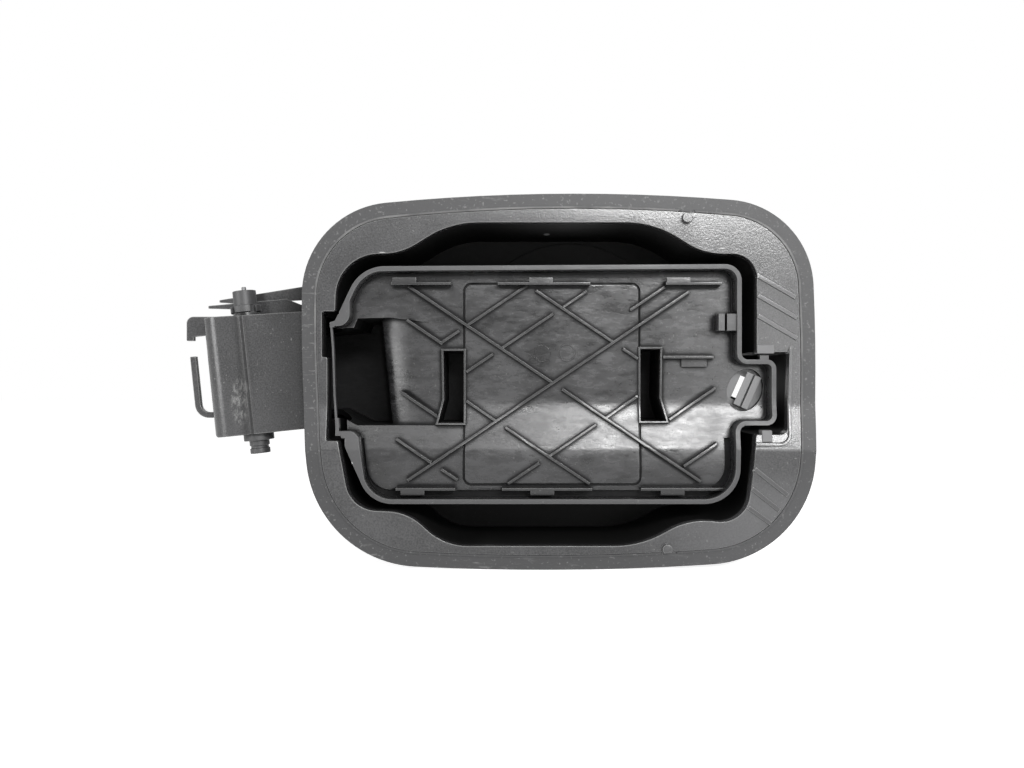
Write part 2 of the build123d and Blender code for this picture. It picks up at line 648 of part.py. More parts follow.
def make_tongues():
    """Snap tongues along the tray's long walls, each with a nose towards the wall."""
    tongues = Part()
    rows = [(TOP_TONGUES, TOP_TONGUE_Y, 1), (LOW_TONGUES, LOW_TONGUE_Y, -1)]
    for row, y, side in rows:
        for middle, length, nose in row:
            plate = Pos(middle, y) * Rectangle(length, TONGUE_THICK)
            tip = Pos(nose, y + side * NOSE_REACH / 2) * Rectangle(NOSE_LENGTH, NOSE_REACH)
            tongues += prism(plate, -DEEP, DEEP) & slab(-TONGUE_DROP, -FLOOR_DROP - SINK)
            tongues += prism(tip, -DEEP, DEEP) & slab(-TONGUE_DROP, -TONGUE_DROP - NOSE_THICK)
    return tongues


def make_skin_clip():
    """Bracket for the outer skin on the tray's right wall, and the low shelf beside it."""
    outer = Pos(CLIP_X, CLIP_Y) * Rectangle(CLIP_LENGTH, CLIP_WIDTH)
    slot = Pos(CLIP_SLOT_X, CLIP_Y) * Rectangle(CLIP_SLOT, 2 * CLIP_WIDTH)
    clip = prism(outer - slot, -DEEP, DEEP) & slab(-CLIP_DROP, -FLOOR_DROP - SINK)
    ridge = Pos(SHELF_X, SHELF_Y) * Rectangle(SHELF_LENGTH, RIB_THICK)
    shelf = Pos(SHELF_X + SHELF_STEP[0], SHELF_Y + SHELF_STEP[1]) * Rectangle(SHELF_LENGTH / 2, SHELF_WIDTH)
    clip += prism(ridge, -DEEP, DEEP) & slab(-FLOOR_DROP + RIB_RISE, -FLOOR_DROP - SINK)
    clip += prism(shelf, -DEEP, DEEP) & slab(-FLOOR_DROP + PANEL_RISE, -FLOOR_DROP - SINK)
    return clip


def make_post(corners):
    """Hollow post, open to the front and closed behind."""
    outline = polygon(corners)
    shell = prism(outline, POST_BACK, DEEP) & under(-FLOOR_DROP + POST_RISE, -DEEP)
    return shell, prism(offset(outline, -POST_WALL), POST_BACK + POST_WALL, DEEP)


def make_door_carrier():
    """Ribbed tray with its gooseneck, moulded as one piece."""
    tray_face = rounded(TRAY)
    inner_face = offset(tray_face, -RIM_THICK) & rounded(HORN_INSIDE)
    nub = box(NUB_X - NUB_WIDTH / 2, NUB_X + NUB_WIDTH / 2, NUB_TOP - 2 * NUB_WIDTH, NUB_TOP, -DEEP, DEEP)
    tray = prism(tray_face, -DEEP, DEEP) & slab(-RIM_DROP, -FLOOR_DROP - FLOOR_THICK)
    tray += nub & slab(-RIM_DROP, -RIM_DROP - NUB_DEPTH)
    gutter = prism(tray_face - floor_plate(GUTTER_WALL), -DEEP, DEEP)
    tray += gutter & slab(-FLOOR_DROP, -GUTTER_DROP - GUTTER_WALL)
    tray -= prism(inner_face, -DEEP, DEEP) & slab(DEEP, -FLOOR_DROP)
    tray -= prism(inner_face - floor_plate(0), -DEEP, DEEP) & slab(DEEP, -GUTTER_DROP)
    plan = polygon(NECK_PLAN)
    width = 2 * POCKET_HALF
    neck = across(gooseneck_region(0, HINGE_FLOOR), -width, width)
    neck &= prism(offset(plan, NECK_WALL), -DEEP, DEEP)
    neck -= swing_disc(NOTCH_SWING_RADIUS)
    neck -= across(Pos(0, DEEP / 2) * Rectangle(2 * LEG_RIGHT, DEEP), -width, width)
    channel = across(gooseneck_region(NECK_WALL, DEEP), -width, width) & prism(plan, -DEEP, DEEP)
    carrier = tray - swing_clearance()
    carrier += neck
    carrier -= channel
    middle = Pos((PANEL_LEFT + PANEL_RIGHT) / 2, (PANEL_TOP + PANEL_LOW) / 2)
    width_x, width_y = PANEL_RIGHT - PANEL_LEFT, PANEL_TOP - PANEL_LOW
    around = middle * RectangleRounded(
        width_x + 2 * PANEL_GROOVE, width_y + 2 * PANEL_GROOVE, PANEL_CORNER + PANEL_GROOVE
    )
    carrier -= prism(around, -DEEP, DEEP) & slab(DEEP, -FLOOR_DROP - PANEL_GROOVE_DEPTH)
    panel = middle * RectangleRounded(width_x, width_y, PANEL_CORNER)
    carrier += prism(panel, -DEEP, DEEP) & slab(-FLOOR_DROP + PANEL_RISE, -FLOOR_DROP - FLOOR_THICK / 2)
    ribs = Sketch()
    for height, start, end in RISING_RIBS:
        ribs += rib_face(height, start, end, RIB_SLOPE)
    for height, start, end in FALLING_RIBS:
        ribs += rib_face(height, start, end, -RIB_SLOPE)
    carrier += prism(ribs, -DEEP, DEEP) & slab(-FLOOR_DROP + RIB_RISE, -FLOOR_DROP - SINK)
    for height, start, end in SCOOP_RIBS:
        rib = prism(rib_face(height, start, end, -RIB_SLOPE), -DEEP, -FLOOR_DROP + RIB_RISE + SKIN_TOP_Z)
        carrier += rib & across(gooseneck_region(NECK_WALL / 2, DEEP), -width, width)
    carrier += make_tongues()
    carrier += make_skin_clip()
    for corners in (POST_LEFT, POST_RIGHT):
        shell, hollow = make_post(corners)
        carrier += shell
        carrier -= hollow
    strip = trace(Polyline(*STRIP), STRIP_THICK)
    carrier += prism(strip, -DEEP, DEEP) & slab(-RIM_DROP, -RIM_DROP - STRIP_DEPTH)
    carrier += across(Circle(HUB_RADIUS), -HUB_HALF, HUB_HALF)
    carrier -= across(Circle(PIN_RADIUS + PIN_CLEARANCE), -width, width)
    hole = Pos(STRIKER_X, STRIKER_Y) * Rot(0, 0, STRIKER_LEAN) * Ellipse(LATCH_HOLE_ACROSS, LATCH_HOLE_ALONG)
    return carrier - prism(hole, -DEEP, DEEP)


def make_latch_striker():
    """Quarter-turn striker: a split, tapered tongue through the latch hole, and a plate behind the floor."""
    seat = SKIN_TOP_Z - FLOOR_DROP - FLOOR_THICK
    front = seat + FLOOR_THICK + STRIKER_RISE
    left = STRIKER_SHIFT - STRIKER_WIDTH / 2
    right = STRIKER_SHIFT + STRIKER_WIDTH / 2
    profile = polygon([
        (left, front), (right, front), (right, STRIKER_TIP), (left + STRIKER_TAPER, STRIKER_TIP),
    ])
    groove = Pos(STRIKER_SHIFT, 0) * Rectangle(STRIKER_GROOVE, 2 * STRIKER_LENGTH)
    window_left = left - STRIKER_WINDOW
    window = Pos((window_left + right) / 2, 0) * Rectangle(right - window_left, STRIKER_WINDOW_LENGTH)
    striker = prism(Circle(STRIKER_PLATE_RADIUS) - window, seat - STRIKER_PLATE_THICK, seat)
    striker += extrude(Plane.XZ * profile, STRIKER_LENGTH / 2, both=True)
    striker -= prism(groove, front - STRIKER_GROOVE_DEPTH, DEEP)
    eye = Pos(STRIKER_SHIFT, 0) * Rectangle(2 * STRIKER_WIDTH, STRIKER_LENGTH / 2)
    striker -= prism(eye, STRIKER_TIP + STRIKER_EYE[0], STRIKER_TIP + STRIKER_EYE[1])
    return Pos(STRIKER_X, STRIKER_Y, 0) * Rot(0, 0, STRIKER_LEAN) * striker


def make_pieces():
    return {
        "housing": make_housing(),
        "flange_lip": make_flange_lip(),
        "neck_seal": make_neck_seal(),
        "hinge_pin": make_hinge_pin(),
        "hinge_bush_upper": make_upper_bush(),
        "hinge_bush_lower": make_lower_bush(),
        "hold_open_spring": make_hold_open_spring(),
        "stop_buffer_upper": make_buffer(RECESS_TOP, -UPPER_BUFFER_REACH, UPPER_BUFFER_WIDTH),
        "stop_buffer_lower": make_buffer(RECESS_LOW, LOWER_BUFFER_REACH, LOWER_BUFFER_WIDTH),
        "door_carrier": make_door_carrier(),
        "latch_striker": make_latch_striker(),
    }


if __name__ == "__main__":
    os.makedirs("parts", exist_ok=True)
    for name, piece in make_pieces().items():
        export_step(Plane.XZ.location * piece, f"parts/{name}.step")
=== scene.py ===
"""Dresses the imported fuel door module: rounded mouldings, finishes, moulding marks and a bright studio."""

import json
from math import hypot, pi, radians, sqrt

import bpy
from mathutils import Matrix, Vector
from mathutils.bvhtree import BVHTree

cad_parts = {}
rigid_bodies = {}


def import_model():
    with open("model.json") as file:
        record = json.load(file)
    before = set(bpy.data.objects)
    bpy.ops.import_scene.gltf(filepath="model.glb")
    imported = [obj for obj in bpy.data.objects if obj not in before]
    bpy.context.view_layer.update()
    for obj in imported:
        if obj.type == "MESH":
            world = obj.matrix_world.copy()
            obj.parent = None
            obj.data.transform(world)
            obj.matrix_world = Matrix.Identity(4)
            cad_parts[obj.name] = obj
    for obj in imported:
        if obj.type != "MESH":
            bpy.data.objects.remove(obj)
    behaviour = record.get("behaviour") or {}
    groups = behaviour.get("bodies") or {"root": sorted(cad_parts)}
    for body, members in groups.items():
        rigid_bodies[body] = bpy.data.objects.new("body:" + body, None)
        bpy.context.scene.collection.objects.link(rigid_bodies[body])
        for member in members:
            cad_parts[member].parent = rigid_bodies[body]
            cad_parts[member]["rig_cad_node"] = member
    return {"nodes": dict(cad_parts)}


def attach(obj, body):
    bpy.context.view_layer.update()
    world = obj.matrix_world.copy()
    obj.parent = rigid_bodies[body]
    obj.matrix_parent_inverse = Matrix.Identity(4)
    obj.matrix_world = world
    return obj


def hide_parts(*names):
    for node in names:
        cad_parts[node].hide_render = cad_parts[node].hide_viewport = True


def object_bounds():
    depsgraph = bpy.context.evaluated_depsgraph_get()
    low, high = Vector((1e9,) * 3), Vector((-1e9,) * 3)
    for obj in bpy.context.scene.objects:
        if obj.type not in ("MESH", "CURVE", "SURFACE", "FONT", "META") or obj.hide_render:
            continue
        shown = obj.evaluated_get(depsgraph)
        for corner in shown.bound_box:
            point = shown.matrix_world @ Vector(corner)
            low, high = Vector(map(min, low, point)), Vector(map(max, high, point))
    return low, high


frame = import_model()
CAD_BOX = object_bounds()

bl_info = {
    "name": "Fuel door module",
    "version": (1, 0, 0),
    "blender": (4, 5, 0),
    "location": "View3D > Sidebar > Fuel Door",
    "description": "Rounds, finishes and lights the packed fuel door module",
    "category": "Object",
}


# Marks on the faces, as x and z in metres, and how large they are
POCKET_SCUFF, SCUFF_SIZE = (-0.1357, -0.0080), (0.0046, 0.0125)
FLANGE_NICKS, NICK_SIZE = ((-0.0739, 0.0546), (0.0689, 0.0563), (-0.0458, -0.0667)), (0.0017, 0.00022)
EJECTOR_MARKS, EJECTOR_SIZE = ((-0.0478, 0.0371), (0.0550, -0.0302)), (0.0022, 0.0022)
MOULDED_RINGS, RING_RADIUS, RING_WIDTH = ((-0.0064, 0.0123), (0.0044, 0.0127)), 0.0035, 0.0004
RIM_FLECK, FLECK_SIZE = (-0.0869, -0.0340), (0.0009, 0.0006)

# Painted glint on the pot's upper wall, as x and y, and the heights between which that wall starts
GLINT_SPOT, GLINT_SIZE, GLINT_WALL = (-0.0035, 0.0330), (0.0017, 0.0035), (0.055, 0.060)

# Hinge pocket, as x: its right end, the lean and place of the fold in its front, where shade is painted, and
# the span of its corner where the flange's shadow is painted
POCKET_END = (-0.106, -0.100)
POCKET_FOLD, FOLD_SHADE_WIDTH = (0.0864, 0.1337), (0.0042, 0.0010)
POCKET_SHADOW, SHADE_END = (-0.1310, -0.1120), (-0.1035, -0.1045)

# Inside of the pot, as depths: where its painted shade starts, and where faces that look forward have it
POT_SHADE_START, POT_SHADE_FACES = (0.003, 0.006), (0.012, 0.016)

# Lower right of the flange and the lip, painted paler as light from below, as x and z
LOW_LIGHT_ACROSS, LOW_LIGHT_DOWN = (0.020, 0.085), (-0.030, -0.055)

# Depths behind the body line at which each zone starts and is full: raised parts, the bead and rib tops get
# painted highlights, sunk parts get painted shade
RAISED_HIGHLIGHT_ZONE, BEAD_HIGHLIGHT_ZONE = (-0.0003, -0.0006), (-0.0001, -0.0003)
RIM_ZONE, RIB_HIGHLIGHT_ZONE = (0.0060, 0.0046), (0.0104, 0.0100)
RING_ZONE, SUNK_SHADE_ZONE = (0.0105, 0.0108), (0.0123, 0.0128)

# Greys of dust and wear; the glint grey and the bead grey are painted highlights, and the edge greys are
# partly wear and partly painted highlight
DUST = (0.38, 0.38, 0.37, 1.0)
SCUFF_GREY = (0.40, 0.40, 0.39, 1.0)
NICK_GREY = (0.70, 0.70, 0.69, 1.0)
GLINT_GREY = (0.40, 0.40, 0.40, 1.0)
FLECK_GREY = (0.80, 0.80, 0.79, 1.0)
HOUSING_EDGE_GREY = (0.34, 0.34, 0.335, 1.0)
CARRIER_EDGE_GREY = (0.30, 0.30, 0.295, 1.0)
BEAD_HIGHLIGHT_GREY = (0.30, 0.30, 0.295, 1.0)
LIP_SCUFF_GREY = (0.36, 0.36, 0.355, 1.0)
DULL = {"Specular IOR Level": 0.12}

# Body line that the outer skins follow: heights of its trough, ridge and lower end, and how far it rises
TROUGH, RIDGE, SKIN_END = -0.0090, -0.0285, -0.0960
TROUGH_DEPTH, RIDGE_RISE, LOW_FALL = 0.0006, 0.0036, 0.0060

# Easy roll below the carrier's ridge: its width, height, facets and soft start, and the depths that it lifts
ROLL_WIDTH, ROLL_HEIGHT, ROLL_FACETS, ROLL_START = 0.0105, 0.0013, 8, 0.0012
ROLL_TOP, ROLL_BOTTOM = 0.0094, 0.01385

# Gooseneck's fall, across the leaning hinge: its middle, floor and radius, and its shoulder's easier radius
HINGE_LEAN, HINGE_HEIGHT = 0.1033, 0.0030
FALL_MIDDLE, FALL_FLOOR, FALL_RADIUS, EASY_RADIUS = -0.0515, 0.0126, 0.0230, 0.0520
FALL_CENTRE = FALL_FLOOR + FALL_RADIUS
SHOULDER_BAND, SHOULDER_SLACK = (0.0226, 0.0260), 0.0001
SIDE_SLACK, SIDE_LOW, SIDE_TOP = 0.00015, -0.0180, 0.0245
SCOOP_LOW, SCOOP_TOP = -0.0192, 0.0290

# Scoop in the gooseneck that stays polished, without the painted shade: its ends across the lean and along x,
# its heights and its depth
SCOOP_ENDS = ((-0.0746, -0.0736), (-0.0475, -0.0490))
SCOOP_HEIGHTS, SCOOP_DEPTH = ((-0.0190, -0.0180), (0.0285, 0.0278)), (0.0198, 0.0190)

# Rounding of edges: facets, the least angle in degrees, and how many roundings a corner may move
EDGE_FACETS, EDGE_ANGLE, CORNER_REACH = 2, 44.0, 1.5
MERGE_REACH = 0.000002

# Lamps: name, the setting that holds its power, place and size
LAMPS = (
    ("key_softbox", "key_power", (0.28, -1.00, 0.36), (0.45, 0.13)),
    ("fill_softbox", "fill_power", (-0.28, -1.00, 0.36), (0.40, 0.13)),
    ("left_panel", "side_power", (-0.90, -0.60, 0.10), (0.40, 0.60)),
    ("top_strip", "top_power", (0.10, -0.45, 0.85), (0.70, 0.12)),
    ("right_panel", "right_power", (0.50, -1.00, 0.02), (0.50, 0.18)),
)
FLOOR_SIZE, FLOOR_GLOW = 8.0, 0.85


class FuelDoorSizes(bpy.types.PropertyGroup):
    """Sizes that the pieces are finished to."""

    housing_round: bpy.props.FloatProperty(
        name="Housing edges", description="Rounding on the housing's edges", default=0.00022, unit="LENGTH"
    )
    lip_round: bpy.props.FloatProperty(
        name="Lip edges", description="Rounding on the soft lip's edges", default=0.00012, unit="LENGTH"
    )
    carrier_round: bpy.props.FloatProperty(
        name="Carrier edges",
        description="Rounding on the door carrier's edges",
        default=0.00018,
        unit="LENGTH",
    )
    fitting_round: bpy.props.FloatProperty(
        name="Fitting edges",
        description="Rounding on hinge, latch and seal edges",
        default=0.00025,
        unit="LENGTH",
    )


class FuelDoorColours(bpy.types.PropertyGroup):
    """Base colours of the finishes."""

    housing: bpy.props.FloatVectorProperty(
        name="Housing", description="Grained black plastic", subtype="COLOR", default=(0.041, 0.041, 0.042)
    )
    carrier: bpy.props.FloatVectorProperty(
        name="Carrier", description="Satin black plastic", subtype="COLOR", default=(0.014, 0.014, 0.0145)
    )
    lip: bpy.props.FloatVectorProperty(
        name="Lip", description="Soft black lip", subtype="COLOR", default=(0.030, 0.030, 0.031)
    )
    # Near black painted shade inside the pot and in the hinge pocket's fold and corner
    pot: bpy.props.FloatVectorProperty(
        name="Pot", description="Dull black inside of the pot", subtype="COLOR", default=(0.008, 0.008, 0.008)
    )
    rubber: bpy.props.FloatVectorProperty(
        name="Rubber", description="Seals and buffers", subtype="COLOR", default=(0.030, 0.030, 0.030)
    )
    striker: bpy.props.FloatVectorProperty(
        name="Striker", description="Grey striker plastic", subtype="COLOR", default=(0.150, 0.150, 0.152)
    )
    steel: bpy.props.FloatVectorProperty(
        name="Steel", description="Pin and leaf spring", subtype="COLOR", default=(0.160, 0.160, 0.163)
    )


class FuelDoorStage(bpy.types.PropertyGroup):
    """Camera and studio light."""

    camera_x: bpy.props.FloatProperty(
        name="Camera x", description="Camera's place across the flange", default=-0.0193, unit="LENGTH"
    )
    camera_z: bpy.props.FloatProperty(
        name="Camera height",
        description="Camera's height above the flange's middle",
        default=-0.0008,
        unit="LENGTH",
    )
    camera_distance: bpy.props.FloatProperty(
        name="Camera distance", description="From the flange's face", default=0.400, unit="LENGTH"
    )
    lens: bpy.props.FloatProperty(
        name="Lens", description="Focal length in millimetres on a 36 mm sensor", default=33.48
    )
    key_power: bpy.props.FloatProperty(
        name="Key light",
        description="Power of the softbox above the camera, at the right",
        default=9.2,
        unit="POWER",
    )
    fill_power: bpy.props.FloatProperty(
        name="Fill light",
        description="Power of the softbox above the camera, at the left",
        default=0.7,
        unit="POWER",
    )
    side_power: bpy.props.FloatProperty(
        name="Side light", description="Power of the panel at the left", default=5.5, unit="POWER"
    )
    right_power: bpy.props.FloatProperty(
        name="Right light", description="Power of the low panel at the right", default=1.5, unit="POWER"
    )
    top_power: bpy.props.FloatProperty(
        name="Top light", description="Power of the strip above the part", default=2.4, unit="POWER"
    )
    ambient: bpy.props.FloatProperty(
        name="Tent light", description="Strength of the light from all round", default=0.18
    )


class Wire:
    """One socket in a material. Arithmetic on it adds Math nodes, and add() makes any other node."""

    def __init__(self, tree, socket=None):
        self.tree = tree
        self.socket = socket

    def add(self, kind, settings=None, inputs=None, output=0):
        node = self.tree.nodes.new(kind)
        for name, value in (settings or {}).items():
            if name == "stops":
                self.set_stops(node.color_ramp, value)
            else:
                setattr(node, name, value)
        for name, value in (inputs or {}).items():
            if isinstance(value, Wire):
                self.tree.links.new(value.socket, node.inputs[name])
            else:
                node.inputs[name].default_value = value
        return Wire(self.tree, node.outputs[output] if node.outputs else None)

    def set_stops(self, ramp, stops):
        while len(ramp.elements) < len(stops):
            ramp.elements.new(1.0)
        for element, (place, level) in zip(ramp.elements, stops):
            element.position = place
            element.color = (level, level, level, 1.0)

    def math(self, operation, first, second):
        return self.add("ShaderNodeMath", {"operation": operation}, {0: first, 1: second})

    def __add__(self, other):
        return self.math("ADD", self, other)

    def __radd__(self, other):
        return self.math("ADD", other, self)

    def __sub__(self, other):
        return self.math("SUBTRACT", self, other)

    def __rsub__(self, other):
        return self.math("SUBTRACT", other, self)

    def __mul__(self, other):
        return self.math("MULTIPLY", self, other)

    def __rmul__(self, other):
        return self.math("MULTIPLY", other, self)


def new_material(name):
    """A material with an empty node tree, and the start of its wires."""
    material = bpy.data.materials.new(name)
    material.use_nodes = True
    material.node_tree.nodes.clear()
    return material, Wire(material.node_tree)


def object_place(wire, scale=(1.0, 1.0, 1.0), turn=(0.0, 0.0, 0.0)):
    """The piece's own coordinates, stretched or turned."""
    place = wire.add("ShaderNodeTexCoord", output="Object")
    return wire.add("ShaderNodeMapping", inputs={"Vector": place, "Scale": scale, "Rotation": turn})


def noise(wire, place, scale, detail=3.0, rough=0.5, distortion=0.0):
    inputs = {"Vector": place, "Scale": scale, "Detail": detail, "Roughness": rough, "Distortion": distortion}
    return wire.add("ShaderNodeTexNoise", inputs=inputs)


def ramp(wire, value, *stops):
    return wire.add("ShaderNodeValToRGB", {"stops": stops}, {"Fac": value})


def blend(wire, share, first, second):
    """Colour between two colours."""
    return wire.add("ShaderNodeMix", {"data_type": "RGBA"}, {0: share, 6: first, 7: second}, output=2)


def rgba(colour, level=1.0):
    return (colour[0] * level, colour[1] * level, colour[2] * level, 1.0)


def surface(wire, colour, roughness, height, bump, depth, **constants):
    """Principled shader with a bump."""
    normal = wire.add("ShaderNodeBump", inputs={"Height": height, "Strength": bump, "Distance": depth})
    inputs = {"Base Color": colour, "Roughness": roughness, "Normal": normal}
    inputs.update(constants)
    return wire.add("ShaderNodeBsdfPrincipled", inputs=inputs)


def close_material(wire, shader):
    wire.add("ShaderNodeOutputMaterial", inputs={"Surface": shader})


def parts_of(wire, vector):
    """The three numbers of a vector."""
    split = wire.tree.nodes.new("ShaderNodeSeparateXYZ")
    wire.tree.links.new(vector.socket, split.inputs[0])
    return [Wire(wire.tree, output) for output in split.outputs]


def step(wire, value, start, end):
    """0 before start and 1 after end, smooth between them."""
    return wire.add(
        "ShaderNodeMapRange",
        {"interpolation_type": "SMOOTHSTEP"},
        {"Value": value, "From Min": start, "From Max": end},
    )


def climb(wire, value, start, end, gain=1.0):
    """0 before start and gain after end, straight between them."""
    return wire.add(
        "ShaderNodeMapRange", inputs={"Value": value, "From Min": start, "From Max": end, "To Max": gain}
    )


def behind_skin(wire, y, z):
    """Depth behind the body line."""
    rise = climb(wire, z, TROUGH, RIDGE, RIDGE_RISE)
    return y - TROUGH_DEPTH + rise - climb(wire, z, RIDGE, SKIN_END, LOW_FALL)


def rolled(wire, z):
    """How far the carrier's floor is lifted below the ridge."""
    share = climb(wire, z, RIDGE, RIDGE - ROLL_WIDTH)
    return ROLL_HEIGHT * share * (2.0 - share)


def spot(wire, x, z, centre, radii):
    """1 in the middle of an oval on the front, and 0 outside it."""
    across = (x - centre[0]) * (1.0 / radii[0])
    along = (z - centre[1]) * (1.0 / radii[1])
    return step(wire, across * across + along * along, 1.0, 0.3)


def ring(wire, x, z, centre, radius, width):
    """1 on a thin circle on the front, and 0 elsewhere."""
    across, along = x - centre[0], z - centre[1]
    off = wire.math("ABSOLUTE", wire.math("SQRT", across * across + along * along, 0.0) - radius, 0.0)
    return step(wire, off, width, 0.4 * width)


def most(wire, masks):
    """The largest of several masks."""
    top = masks[0]
    for mask in masks[1:]:
        top = wire.math("MAXIMUM", top, mask)
    return top


def painted_low_light(wire, x, z):
    """1 at the lower right of the flange, where the most painted light lies, and 0 in its middle and at the
    left.
    """
    return step(wire, x, *LOW_LIGHT_ACROSS) * step(wire, z, *LOW_LIGHT_DOWN)


def openness(wire, reach, **settings):
    """1 where nothing lies within reach of a face, and less beside other faces."""
    settings.update(samples=8, only_local=True)
    return wire.add("ShaderNodeAmbientOcclusion", settings, {"Distance": reach}, output="AO")


def crevice(wire, reach):
    """1 in the corners beside ribs and walls, and 0 in the open."""
    return step(wire, openness(wire, reach), 0.96, 0.70)


def edge_wear_highlight(wire, reach):
    """1 along the sharp outer edges, and 0 on the faces between them."""
    return step(wire, openness(wire, reach, inside=True), 0.92, 0.62)


def dusty_plastic(wire, place, body, sheen, grain, dust, height=0.0, **constants):
    """Moulded plastic: grain in the skin, and specks of dust in patches."""
    fine = noise(wire, place, 2400.0, detail=2.0)
    pebbles = 0.5 * fine + 0.5 * noise(wire, place, 1100.0, detail=1.0)
    specks = ramp(wire, noise(wire, place, 900.0, detail=2.0), (0.66, 0.0), (0.74, 1.0))
    patches = ramp(wire, noise(wire, place, 34.0, detail=2.0), (0.40, 0.0), (0.75, 1.0))
    dusty = blend(wire, specks * patches * dust, body, DUST)
    return surface(wire, dusty, sheen + 0.08 * fine, pebbles * grain + height, 1.0, 0.00010, **constants)


def flow_marks(wire, place):
    """Cloudy marks of the plastic's flow in the mould."""
    return 0.6 * noise(wire, place, 26.0, detail=4.0, distortion=0.8) + 0.4 * noise(wire, place, 90.0)


def moulded_plastic(name, colour, roughness, grain, cloud, dust):
    """Moulded plastic: fine grain, cloudy flow marks and a little dust."""
    material, wire = new_material(name)
    place = object_place(wire)
    flow = flow_marks(wire, place)
    body = blend(wire, flow, rgba(colour, 1.0 - cloud), rgba(colour, 1.0 + cloud))
    sheen = roughness - 0.5 * cloud + cloud * flow
    close_material(wire, dusty_plastic(wire, place, body, sheen, grain, dust))
    return material


def grained_housing(name, colour, pot_shade_colour):
    """Grained plastic on the flange and outside, with painted highlights on raised parts and a painted pale
    patch of light at the lower right; near black painted shade inside the pot and in the pocket's fold and
    corner.
    """
    material, wire = new_material(name)
    place = object_place(wire)
    x, y, z = parts_of(wire, place)
    nx, ny, nz = parts_of(wire, wire.add("ShaderNodeTexCoord", output="Normal"))
    off_pocket = step(wire, x, *POCKET_END)

    # Grain, a painted pale patch of light at the lower right, and painted highlights on the raised parts of
    # the flange
    flow = flow_marks(wire, place)
    mottle = ramp(wire, 0.4 * flow + 0.6 * noise(wire, place, 1500.0, detail=2.0), (0.38, 0.0), (0.62, 1.0))
    grained = blend(wire, mottle, rgba(colour, 0.60), rgba(colour, 1.45))
    skin = blend(wire, painted_low_light(wire, x, z) * 0.6, grained, rgba(colour, 3.0))
    raised = step(wire, behind_skin(wire, y, z), *RAISED_HIGHLIGHT_ZONE)
    lit = blend(wire, raised * off_pocket, skin, rgba(colour, 1.5))

    # Scuff on the pocket, nicks in the flange, and edges painted paler, partly as wear and partly as painted
    # highlight
    strokes = noise(wire, object_place(wire, (1.0, 1.0, 0.5)), 620.0, detail=4.0, rough=0.7)
    rubbed = ramp(wire, strokes, (0.46, 0.0), (0.64, 1.0)) * spot(wire, x, z, POCKET_SCUFF, SCUFF_SIZE)
    nicks = most(wire, [spot(wire, x, z, centre, NICK_SIZE) for centre in FLANGE_NICKS])
    worn = blend(wire, rubbed * 0.4 * step(wire, ny, -0.6, -0.9), lit, SCUFF_GREY)
    nicked = blend(wire, nicks * 0.5 * step(wire, y, 0.005, 0.003), worn, NICK_GREY)
    edged = blend(wire, edge_wear_highlight(wire, 0.0006) * 0.55, nicked, HOUSING_EDGE_GREY)
    front = dusty_plastic(wire, place, edged, 0.145 + 0.08 * flow, 0.65, 0.6)

    # Painted shade inside the pot, with a painted glint on its upper wall, and painted shade in the pocket's
    # fold and a painted shadow of the flange in its corner
    glint = spot(wire, x, y, GLINT_SPOT, GLINT_SIZE) * step(wire, z, *GLINT_WALL)
    black = blend(wire, glint, rgba(pot_shade_colour), GLINT_GREY)
    behind = dusty_plastic(wire, place, black, 0.50, 0.1, 0.03, **DULL)
    inwards = step(wire, x * nx + z * nz, 0.0, -0.004)
    ahead = step(wire, y, *POT_SHADE_FACES) * step(wire, ny, 0.0, -0.5)
    inside = most(wire, (inwards, ahead)) * step(wire, y, *POT_SHADE_START) * off_pocket
    lean, across = POCKET_FOLD
    fold = step(wire, wire.math("ABSOLUTE", x + lean * z + across, 0.0), *FOLD_SHADE_WIDTH)
    pocket_shade = most(wire, (fold * 0.80, step(wire, x, *POCKET_SHADOW) * 0.85))
    pocket_shade_mask = pocket_shade * step(wire, x, *SHADE_END) * step(wire, y, 0.006, 0.010)
    share = most(wire, (inside, pocket_shade_mask))
    close_material(wire, wire.add("ShaderNodeMixShader", inputs={0: share, 1: front, 2: behind}))
    return material


